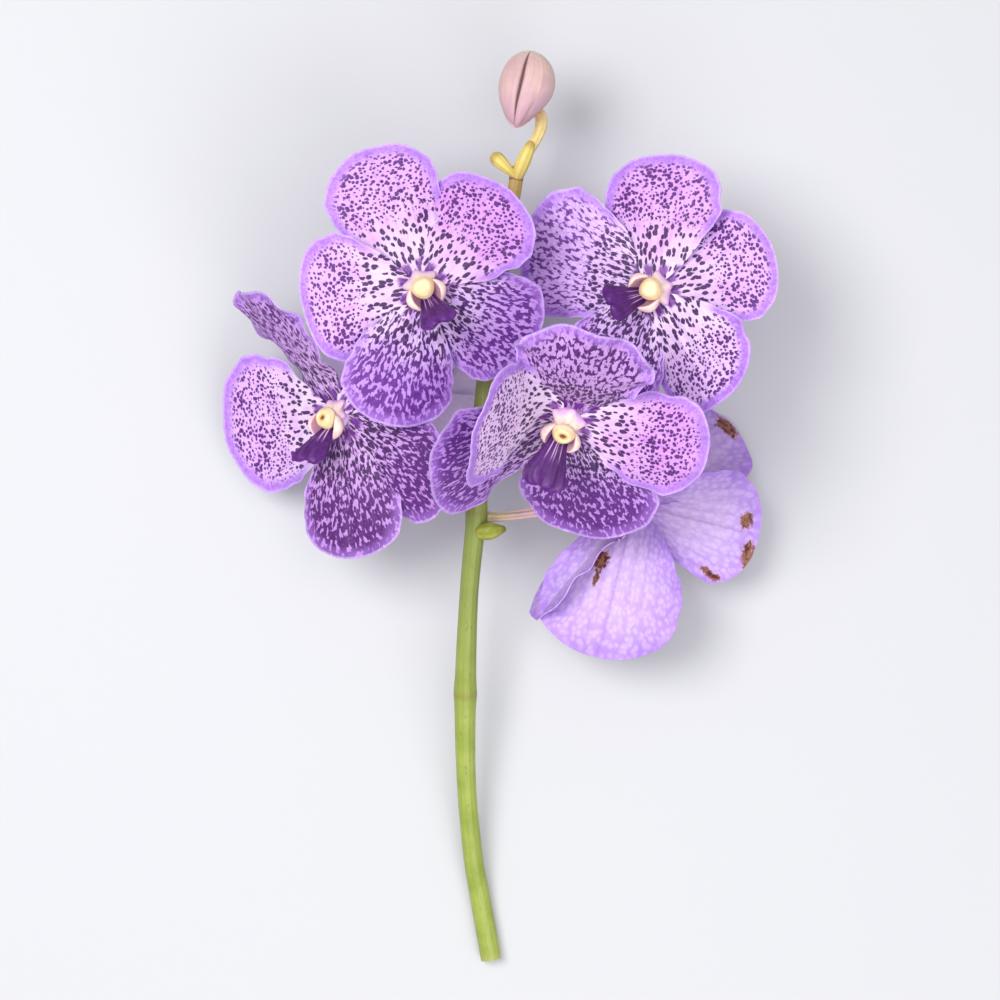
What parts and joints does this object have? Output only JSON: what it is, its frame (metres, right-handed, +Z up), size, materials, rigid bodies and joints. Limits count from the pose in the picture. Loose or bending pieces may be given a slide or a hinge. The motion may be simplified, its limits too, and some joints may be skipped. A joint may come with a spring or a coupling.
{
  "type": "cut orchid flower stem",
  "caption": "Cut vanda orchid lying on its back: a green flower stem with spotted lilac blooms and a pink bud at its tip.",
  "frame": {"origin": "middle of the footprint on the surface it lies on", "axes": "+Y along the stem from its cut end towards the bud, +Z up from the surface, the way the front blooms face"},
  "size_m": [0.2104, 0.3506, 0.1393],
  "materials": {
    "tepal": "satin",
    "lip": "satin",
    "column": "satin",
    "stalk": "satin",
    "stem": "satin",
    "bud": "satin",
    "bud_stalk": "satin"
  },
  "bodies": {
    "root": {"tepals_upper_left": "tepal", "lip_upper_left": "lip", "column_upper_left": "column", "stalk_upper_left": "stalk", "tepals_upper_right": "tepal", "lip_upper_right": "lip", "column_upper_right": "column", "stalk_upper_right": "stalk", "tepals_front": "tepal", "lip_front": "lip", "column_front": "column", "stalk_front": "stalk", "tepals_left": "tepal", "lip_left": "lip", "column_left": "column", "stalk_left": "stalk", "tepals_right_back": "tepal", "lip_right_back": "lip", "column_right_back": "column", "stalk_right_back": "stalk", "tepals_middle_back": "tepal", "lip_middle_back": "lip", "column_middle_back": "column", "stalk_middle_back": "stalk", "flower_stem": "stem", "bud": "bud", "bud_stalk": "bud_stalk"}
  },
  "joints": []
}
